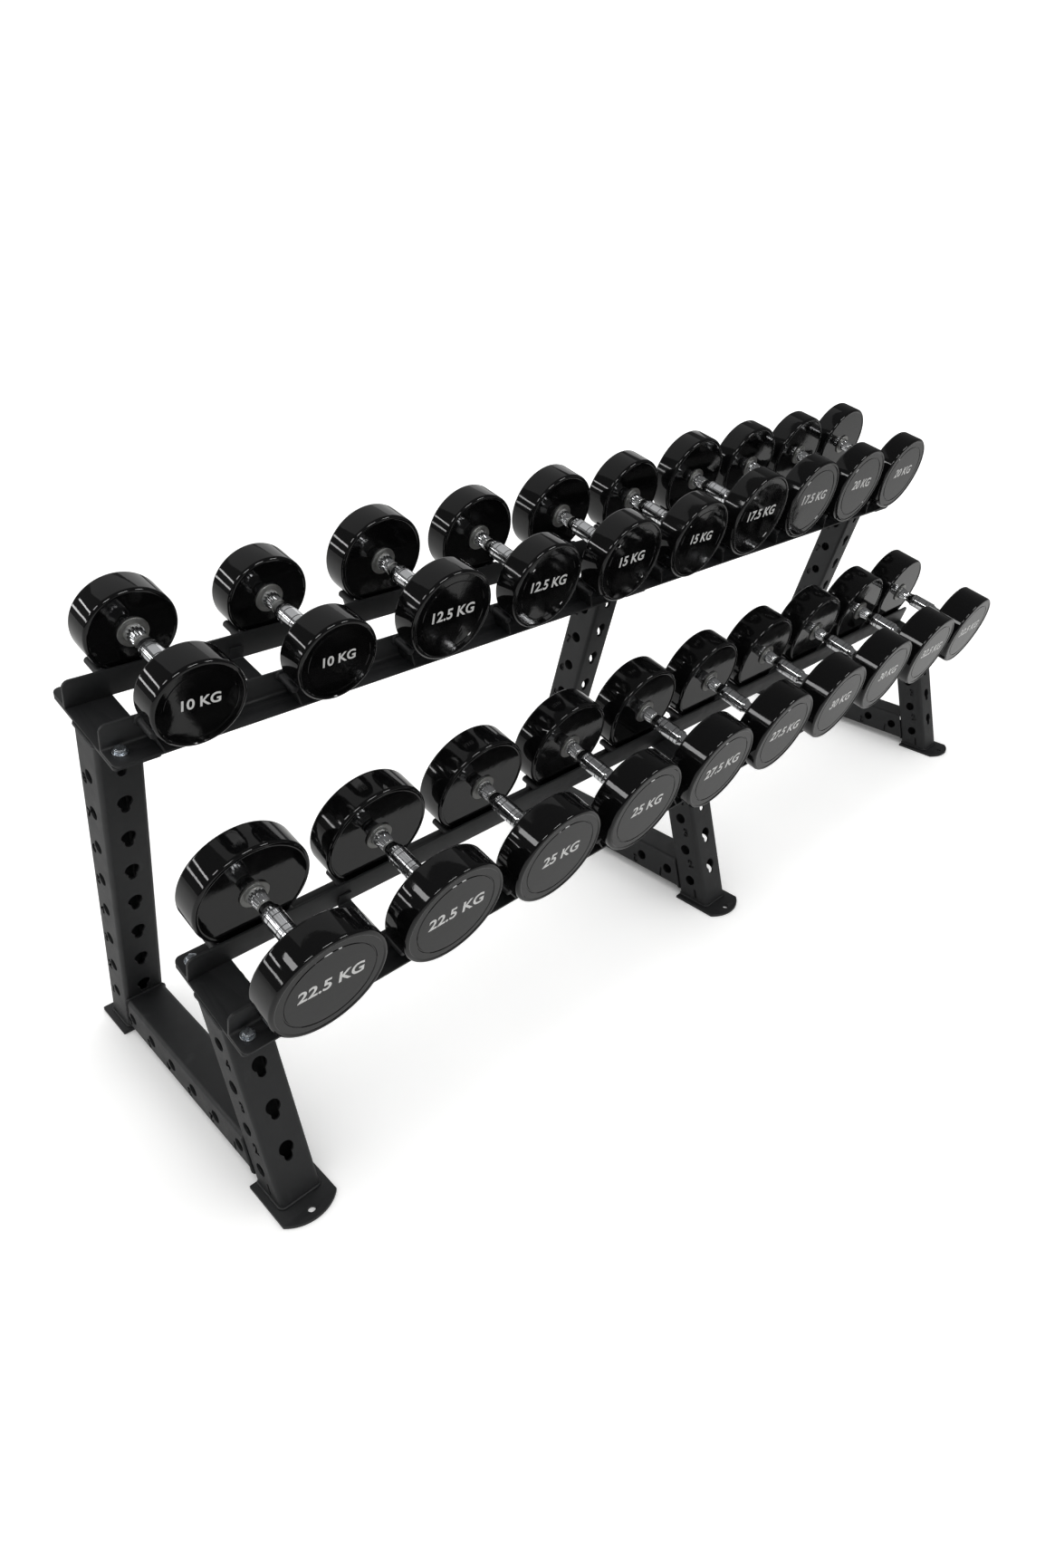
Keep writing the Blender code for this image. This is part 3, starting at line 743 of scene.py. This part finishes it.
def rail_angle_mesh(outer_edge, inward):
    """An angle rail: flat leg, root fillet and upright leg, its leg ends rounded off."""
    inner = outer_edge + inward * RAIL_LEG
    bend = inner - inward * RAIL_THICKNESS
    top, shelf = GAP + RAIL_LEG, GAP + RAIL_THICKNESS
    start, end = (0, -90) if inward > 0 else (180, 270)
    fillet = arc((bend - inward * RAIL_ROOT, shelf + RAIL_ROOT), RAIL_ROOT, start, end, 6)
    outline = [(outer_edge, GAP), (inner, GAP), (inner, top), (bend, top), *fillet, (outer_edge, shelf)]
    mesh = extruded((outline,), RAIL_LENGTH)
    mesh.transform(SECTION_TO_TIER)
    for u in BOLT_U.values():
        if min(outer_edge, inner) < u < max(outer_edge, inner):
            bar = extruded((circle(BOLT_HOLE_RADIUS),), BOLT_HOLE_LENGTH)
            bars = [(bar, Matrix.Translation((bolt_x(name), u, 0))) for name in FRAMES]
            mesh = cut(mesh, gathered("bars", bars))
    corners = bmesh.new()
    corners.from_mesh(mesh)
    tips = [
        edge
        for edge in corners.edges
        if edge.calc_length() > RAIL_THICKNESS / 2
        and all(abs(v.co.x - math.copysign(RAIL_LENGTH / 2, edge.verts[0].co.x)) < GAP for v in edge.verts)
        and (
            all(abs(v.co.z - top) < GAP for v in edge.verts)
            or all(abs(v.co.y - outer_edge) < GAP for v in edge.verts)
        )
    ]
    bmesh.ops.bevel(corners, geom=tips, offset=RAIL_END_ROUND, segments=8, profile=0.5, affect="EDGES")
    corners.to_mesh(mesh)
    corners.free()
    return bevelled(mesh, RAIL_EDGE)


def rod_profile(length):
    """Half section of a cradle rod standing on its root, its free end rounded."""
    dome = arc((ROD_RADIUS - ROD_EDGE, length - ROD_EDGE), ROD_EDGE, 90, 0, 6)
    return [(0.0, length)] + dome + [(ROD_RADIUS, 0.0), (0.0, 0.0)]


def wing_mesh(side, depth, rod_at):
    """The thin plate under a rod, from the rod down and in to the flat leg."""
    rod = Vector((side * rod_at[0], rod_at[1]))
    foot = Vector((side * WING_FOOT_HALF_SPAN, GAP + RAIL_THICKNESS * WING_FOOT_HEIGHT))
    across = Vector((foot.y - rod.y, rod.x - foot.x)).normalized() * (WING_THICKNESS / 2)
    outline = [tuple(rod + across), tuple(foot + across), tuple(foot - across), tuple(rod - across)]
    mesh = extruded((outline,), depth)
    mesh.transform(ACROSS_TO_TIER)
    return bevelled(mesh, WING_EDGE)


def cradle_parts(outer_edge, inward, rod_at):
    """One dumbbell's two rods with their wings and welds, about the dumbbell's own X."""
    face = outer_edge + inward * (RAIL_LEG - RAIL_THICKNESS)
    tip = outer_edge - inward * ROD_REACH
    root = face + inward * RAIL_THICKNESS * ROD_ROOT
    length = abs(tip - root)
    wing_depth = abs(face - outer_edge)
    rod = turned(rod_profile(length), 32)
    along = Matrix.Rotation(math.radians(90 if inward > 0 else -90), 4, "X")
    off_rod, off_leg = ROD_WELD_CLEAR
    parts = []
    for side in (-1, 1):
        at = Matrix.Translation((side * rod_at[0], root, rod_at[1]))
        parts.append((rod, at @ along))
        wing_at = Matrix.Translation((0, (face + outer_edge) / 2, 0))
        parts.append((wing_mesh(side, wing_depth, rod_at), wing_at))
        ring = [
            Vector((side * rod_at[0] + x, face - inward * off_leg, rod_at[1] + n))
            for x, n in circle(ROD_RADIUS + off_rod, 16)
        ]
        parts.append((bead_mesh(ring), Matrix()))
    return parts


dumbbell_xs = [centre(f"upper_dumbbell_{i:02d}").x for i in range(1, 11)]
for side, outer_edge, inward in (("front", FRONT_RAIL_U, 1), ("rear", REAR_RAIL_U, -1)):
    angle = rail_angle_mesh(outer_edge, inward)
    for tier in TIERS:
        cradle = gathered("cradle", cradle_parts(outer_edge, inward, ROD_AT[tier]))
        row = [(cradle, Matrix.Translation((x, 0, 0))) for x in dumbbell_xs]
        node = f"{tier}_{side}_rail"
        mesh = gathered(node, [(angle, TIER[tier])])
        place(node + "_angle", mesh, [POWDER_COAT], nodes=[node])
        cradles = gathered(node + "_cradles", [(part, TIER[tier] @ at) for part, at in row])
        place(node + "_cradles", cradles, [POWDER_COAT])


def strap_mesh():
    """A flat strap between the rails' upright legs, bent up into a tab against each of them."""
    front = FRONT_RAIL_U + RAIL_LEG + GAP
    rear = REAR_RAIL_U - RAIL_LEG - GAP
    low, bend = 2 * GAP, STRAP_BEND
    high = low + STRAP_TAB
    outline = [(front, high)] + arc((front + bend, low + bend), bend, 180, 270, 6)
    outline += arc((rear - bend, low + bend), bend, 270, 360, 6) + [(rear, high)]
    inside = bend - STRAP_THICKNESS
    outline += [(rear - STRAP_THICKNESS, high)] + arc((rear - bend, low + bend), inside, 0, -90, 4)
    outline += arc((front + bend, low + bend), inside, 270, 180, 4) + [(front + STRAP_THICKNESS, high)]
    mesh = extruded((outline,), STRAP_WIDTH)
    mesh.transform(SECTION_TO_TIER)
    return bevelled(mesh, STRAP_EDGE)


strap = strap_mesh()
for tier in TIERS:
    node = tier + "_cross_strap"
    at = TIER[tier] @ Matrix.Translation((centre(node).x, 0, 0))
    place(node + "_skin", gathered(node, [(strap, at)]), [POWDER_COAT], nodes=[node])

# ---------------------------------------------------------------- bolts


def hexagon(radius):
    return arc((0, 0), radius, 0, 300, 5)


def washer_profile(flat):
    """Half section of the washer lying on the rail's flat leg, its upper edge rounded."""
    bore, rim, thickness, edge = 0.0060, 0.0120, 0.0025, 0.0006
    top = flat + thickness
    return [(bore, top)] + arc((rim - edge, top - edge), edge, 90, 0, 4) + [(rim, flat), (bore, flat)], top


def thread_profile(flat, end):
    """Half section of the threaded shank, a crest and a root at every turn."""
    crest, root, turn = 0.0057, 0.0052, 0.0015
    profile = [(0.0, flat)]
    for i in range(18):
        height = flat - turn * i
        profile += [(crest, height - 0.0002), (root, height - 0.0009)]
    return [point for point in profile if point[1] >= end] + [(0.0, end)]


def bolt_mesh():
    """Hex head on a round washer, with a hex nut and a thread end below the seat plate."""
    flat = GAP + RAIL_THICKNESS + GAP
    head_radius, head_height, head_edge = 0.0099, 0.0062, 0.0009
    nut_radius, nut_height, nut_edge = 0.0094, 0.0086, 0.0008
    thread_end = 0.0013  # below the nut
    washer, washer_top = washer_profile(flat)
    head = bevelled(extruded((hexagon(head_radius),), head_height), head_edge, 3)
    crown = [(0.0, 0.0003), (0.0068, 0.0003), (0.0078, -0.0004), (0.0, -0.0004)]
    nut = bevelled(extruded((hexagon(nut_radius),), nut_height), nut_edge, 3)
    below = -PLATE_THICKNESS - GAP
    middle = washer_top + head_height / 2
    return gathered(
        "bolt",
        [
            (turned(washer, 48), Matrix()),
            (head, Matrix.Translation((0, 0, middle))),
            (turned(crown, 40), Matrix.Translation((0, 0, middle + head_height / 2))),
            (nut, Matrix.Translation((0, 0, below - nut_height / 2))),
            (turned(thread_profile(flat, below - nut_height - thread_end), 32), Matrix()),
        ],
    )


bolt = bolt_mesh()
for order, name in enumerate(FRAMES):
    for tier in TIERS:
        for side, u in BOLT_U.items():
            node = f"{name}_{tier}_{side}_bolt"
            spin = Matrix.Rotation(math.radians(17 * order + (23 if side == "rear" else 5)), 4, "Z")
            at = TIER[tier] @ Matrix.Translation((bolt_x(name), u, 0)) @ spin
            place(node + "_skin", gathered(node, [(bolt, at)]), [ZINC], nodes=[node], sharp=30)

# ---------------------------------------------------------------- dumbbells


def head_profile(radius, inner, outer):
    """Half section of one head, from the middle of its outer face round to the middle of its inner face."""
    face, back = outer - HEAD_LIP, inner + HEAD_LIP
    shoulder, groove = radius * SHOULDER, radius * FACE_GROOVE
    wide, narrow = (width / 2 for width in FACE_GROOVE_WIDTHS)
    floor = face - FACE_GROOVE_DEPTH
    crest = 0.0002  # from the lip to the head's end
    profile = [(0.0, face), (groove - wide, face), (groove - narrow, floor)]
    profile += [(groove + narrow, floor), (groove + wide, face)]
    profile += [(shoulder - HEAD_LIP_SLOPE, face), (shoulder, outer - crest)]
    profile += arc((radius - HEAD_RIM, outer - HEAD_RIM), HEAD_RIM, 88, 0, 10)
    profile += arc((radius - HEAD_RIM, inner + HEAD_RIM), HEAD_RIM, 0, -88, 10)
    profile += [(shoulder, inner + crest), (shoulder - HEAD_LIP_SLOPE, back), (0.0, back)]
    return profile


def collar_profile(inner):
    """The grey disc against a head's inner face, with a low step at the neck."""
    root = inner + 0.002  # inside the head
    fillet = 0.0002
    disc, step = inner - COLLAR_HEIGHT, inner - COLLAR_STEP_HEIGHT
    return [
        (0.0, root),
        (COLLAR_RADIUS, root),
        (COLLAR_RADIUS, disc + COLLAR_EDGE),
        (COLLAR_RADIUS - COLLAR_EDGE, disc),
        (COLLAR_STEP_RADIUS + fillet, disc),
        (COLLAR_STEP_RADIUS, step + COLLAR_EDGE),
        (COLLAR_STEP_RADIUS - COLLAR_EDGE, step),
        (0.0, step),
    ]


def neck_profile(inner):
    """The fluted chrome cone from the collar to its waist."""
    wide, narrow = NECK_RADII
    start, end = inner - NECK_START, inner - WAIST
    edge = 0.0012
    return [
        (0.0, start),
        (wide, start),
        (wide * 0.985, start - 0.0018),
        (narrow, end + edge),
        (narrow - edge, end),
        (0.0, end),
    ]


def waist_profile(inner):
    """The thin grey bead round the waist."""
    bead = arc((NECK_RADII[1] - 0.0006, -WAIST - 0.0012), WAIST_BEAD, 90, -90, 8)
    top, bottom = inner - WAIST + 0.0002, inner - WAIST - 0.0026
    return [(0.0, top)] + [(radius, inner + height) for radius, height in bead] + [(0.0, bottom)]


def grip_half(inner):
    """Chrome from the waist to the grip's middle: a flare that faces the head, then two sunk rings."""
    waist, start = inner - WAIST, inner - GRIP_START
    flare = ((0.0132, waist - 0.0062), (0.0150, start + 0.0034))
    profile = [(0.0, waist - 0.0020), (NECK_RADII[1] - 0.0004, waist - 0.0020), *flare]
    profile += arc((GRIP_RADIUS - GRIP_END_ROUND, start - 0.0006), GRIP_END_ROUND, 75, 0, 5)
    wide, narrow = GROOVE_WIDTH / 2, 0.0004
    for groove in (inner - depth for depth in GROOVES):
        profile += [(GRIP_RADIUS, groove + wide), (GRIP_RADIUS - GROOVE_DEPTH, groove + narrow)]
        profile += [(GRIP_RADIUS - GROOVE_DEPTH, groove - narrow), (GRIP_RADIUS, groove - wide)]
    return profile


def ring_profile(groove):
    """The dark ring lying in one of the grip's grooves."""
    reach = GRIP_RADIUS - 0.0004
    half = GROOVE_WIDTH / 2 - 0.0003
    return [(0.0, groove + half), (reach, groove + half), (reach, groove - half), (0.0, groove - half)]


def mirrored(profile):
    return profile + [(radius, -height) for radius, height in reversed(profile)]


def flipped(profile):
    return [(radius, -height) for radius, height in reversed(profile)]


INNER_FACE = HEAD_SPACING / 2
collar_shape, waist_shape = collar_profile(INNER_FACE), waist_profile(INNER_FACE)
collar_shapes = (collar_shape, flipped(collar_shape), waist_shape, flipped(waist_shape))
collars = gathered("collars", [(turned(shape, 72), Matrix()) for shape in collar_shapes])
neck_shape = neck_profile(INNER_FACE)
neck_shapes = (neck_shape, flipped(neck_shape))
necks = [(turned(shape, 14 * NECK_FLUTES, NECK_FLUTES, FLUTE_DEPTH), Matrix()) for shape in neck_shapes]
necks = gathered("necks", necks)
grooves = [side * (INNER_FACE - depth) for side in (1, -1) for depth in GROOVES]
rings = gathered("rings", [(turned(ring_profile(groove), 72), Matrix()) for groove in grooves])
grip = turned(mirrored(grip_half(INNER_FACE)), 96)


def dumbbell(tier, index):
    """One dumbbell: heads, collars, fluted necks, dark rings, grip and its weight in numerals."""
    node = f"{tier}_dumbbell_{index + 1:02d}"
    size = extent(node)
    radius = size.x / 2
    length = (size.y - 2 * radius * math.sin(TILT)) / math.cos(TILT)
    roll = math.radians((37 * index + (11 if tier == "upper" else 71)) % 360)
    placed = Matrix.Translation(centre(node)) @ Matrix.Rotation(TILT, 4, "X") @ LYING
    spun = placed @ Matrix.Rotation(roll, 4, "Z")
    outer = length / 2
    profile = head_profile(radius, INNER_FACE, outer)
    heads = [(turned(p, 128), spun) for p in (profile, flipped(profile))]
    place(node + "_heads", gathered(node, heads), [GLOSS_BLACK], node, [node])
    place(node + "_collars", gathered(node, [(collars, spun)]), [STEEL], node)
    place(node + "_necks", gathered(node, [(necks, spun)]), [CHROME], node, sharp=60)
    place(node + "_rings", gathered(node, [(rings, spun)]), [RING_AND_DIGIT_SHADE], node)
    place(node + "_grip", gathered(node, [(grip, spun)]), [CHROME], node)
    scale = radius / NUMERAL_HEAD_RADIUS
    text = PAIR_WEIGHTS[tier][index // 2] + " KG"
    letters = lettering(text, NUMERAL_HEIGHT * scale, NUMERAL_DEPTH, NUMERAL_WEIGHT)
    tip = Matrix.Rotation(math.radians(NUMERAL_TIPS[index % len(NUMERAL_TIPS)]), 4, "Z")
    rise = Matrix.Translation((0, NUMERAL_RISE * scale, 0))
    face = outer - HEAD_LIP
    front = placed @ Matrix.Translation((0, 0, -face)) @ Matrix.Rotation(math.pi, 4, "X")
    rear = placed @ Matrix.Translation((0, 0, face)) @ Matrix.Rotation(math.pi, 4, "Z")
    lettered = [(letters, side @ tip @ rise) for side in (front, rear)]
    place(node + "_numerals", gathered(node, lettered), [WHITE_INK], node)


for tier in TIERS:
    for index in range(len(dumbbell_xs)):
        dumbbell(tier, index)

# ---------------------------------------------------------------- floor, light and camera


FLOOR_HALF_SIZE = 30.0
FLOOR_DROP = 0.0002
CONTACT_SHADE_REACH = 0.35
OFF_CAMERA_PAINTED_GLOW = 0.05  # painted glow of the floor, for anything but the camera
NEAR_GLOW, FAR_GLOW = (2.5, 0.55), (9.0, 1.2)  # painted glow: distance and strength, for the camera
WORLD_SEEN, WORLD_MIRRORED, WORLD_LIGHT = 1.05, 0.12, 0.55
LENS = 21.61
CAMERA_SHIFT = (-0.0113, -0.0146)
CAMERA_PLACE = (-1.6047, REAR_POST_Y - 1.5374, 1.3960)
CAMERA_AIM = (0.62404, 0.61199, -0.48584)
CAMERA_ROLL = 1.27


def floor_material():
    """Pale and softly mottled, with a painted glow that grows brighter the further off it is, darkened by
    painted shade in corners.
    """
    material, tree, shader = new_material("pale_floor", (0.86, 0.86, 0.85), 0.6)
    soft = noise(tree, 1.3, 3.0)
    tint(tree, shader, soft, (0.84, 0.84, 0.83), (0.88, 0.88, 0.87))
    shader.inputs["Emission Color"].default_value = (1.0, 1.0, 1.0, 1.0)
    # painted contact shade: the floor's glow is dimmed close to other things
    corner = tree.nodes.new("ShaderNodeAmbientOcclusion")
    corner.inputs["Distance"].default_value = CONTACT_SHADE_REACH
    reach = tree.nodes.new("ShaderNodeVectorMath")
    reach.operation = "LENGTH"
    tree.links.new(tree.nodes.new("ShaderNodeTexCoord").outputs["Object"], reach.inputs[0])
    seen = tree.nodes.new("ShaderNodeMix")
    seen.inputs["A"].default_value = OFF_CAMERA_PAINTED_GLOW
    (near, near_glow), (far, far_glow) = NEAR_GLOW, FAR_GLOW
    tree.links.new(remap(tree, reach.outputs["Value"], near, far, near_glow, far_glow), seen.inputs["B"])
    tree.links.new(tree.nodes.new("ShaderNodeLightPath").outputs["Is Camera Ray"], seen.inputs["Factor"])
    glow = tree.nodes.new("ShaderNodeMath")
    glow.operation = "MULTIPLY"
    tree.links.new(corner.outputs["AO"], glow.inputs[0])
    tree.links.new(seen.outputs["Result"], glow.inputs[1])
    tree.links.new(glow.outputs[0], shader.inputs["Emission Strength"])
    return material


def add_floor():
    mesh = bpy.data.meshes.new("floor")
    grid = bmesh.new()
    bmesh.ops.create_grid(grid, x_segments=8, y_segments=8, size=FLOOR_HALF_SIZE)
    grid.to_mesh(mesh)
    grid.free()
    mesh.materials.append(floor_material())
    floor = bpy.data.objects.new("floor", mesh)
    bpy.context.scene.collection.objects.link(floor)
    floor.location.z = cad_low[2] - FLOOR_DROP


def add_softbox(name, location, aim, width, depth, power):
    light = bpy.data.lights.new(name, "AREA")
    light.shape = "RECTANGLE"
    light.size, light.size_y = width, depth
    light.energy = power
    lamp = bpy.data.objects.new(name, light)
    bpy.context.scene.collection.objects.link(lamp)
    lamp.location = location
    lamp.rotation_mode = "QUATERNION"
    lamp.rotation_quaternion = (Vector(aim) - Vector(location)).to_track_quat("-Z", "Y")
    lamp.visible_camera = False
    return lamp


def add_world():
    """White where it is seen, and a dim room for everything that reflects it."""
    world = bpy.data.worlds.new("studio")
    world.use_nodes = True
    tree = world.node_tree
    background = tree.nodes["Background"]
    background.inputs["Color"].default_value = (1.0, 1.0, 1.0, 1.0)
    path = tree.nodes.new("ShaderNodeLightPath")
    mirrored_room = remap(tree, path.outputs["Is Glossy Ray"], 0.0, 1.0, WORLD_LIGHT, WORLD_MIRRORED)
    seen = tree.nodes.new("ShaderNodeMix")
    seen.inputs["B"].default_value = WORLD_SEEN
    tree.links.new(path.outputs["Is Camera Ray"], seen.inputs["Factor"])
    tree.links.new(mirrored_room, seen.inputs["A"])
    tree.links.new(seen.outputs["Result"], background.inputs["Strength"])
    bpy.context.scene.world = world


def add_camera():
    """A wide lens near the left end, looking down along the rack."""
    camera = bpy.data.cameras.new("camera")
    camera.sensor_width = 36.0
    camera.lens = LENS
    camera.shift_x, camera.shift_y = CAMERA_SHIFT
    camera.dof.use_dof = False
    shot = bpy.data.objects.new("camera", camera)
    bpy.context.scene.collection.objects.link(shot)
    shot.location = CAMERA_PLACE
    shot.rotation_mode = "QUATERNION"
    roll = Quaternion((0, 0, 1), math.radians(CAMERA_ROLL))
    shot.rotation_quaternion = Vector(CAMERA_AIM).to_track_quat("-Z", "Y") @ roll
    bpy.context.scene.camera = shot
    bpy.context.scene.view_settings.view_transform = "Standard"


add_floor()
add_world()
overhead = add_softbox("overhead", (0.0, -0.3, 3.6), (0.0, -0.3, 0.0), 6.0, 4.0, 75.0)
overhead.visible_glossy = False
MIRRORED_LIGHTS = (  # name, place, width, depth, power: seen in the gloss and chrome alone
    ("back_wall", (2.0, 6.0, 3.4), 12.0, 4.0, 110.0),
    ("rear_ceiling", (0.0, 1.6, 3.7), 5.0, 2.0, 10.0),
    ("window_low", (-5.0, 2.6, 1.7), 5.0, 0.26, 30.0),
    ("window_high", (-5.0, 3.2, 3.1), 3.0, 0.26, 24.0),
    ("window_far", (-5.0, 0.6, 4.2), 2.2, 0.9, 46.0),
    ("front_left", (-2.6, -3.2, 3.0), 1.1, 0.5, 26.0),
    ("front_middle", (-0.4, -3.2, 3.0), 1.1, 0.5, 26.0),
    ("front_right", (1.8, -3.2, 3.0), 1.1, 0.5, 26.0),
)
for name, where, width, depth, power in MIRRORED_LIGHTS:
    add_softbox(name, where, (0.0, 0.0, 0.7), width, depth, power).visible_diffuse = False
add_camera()
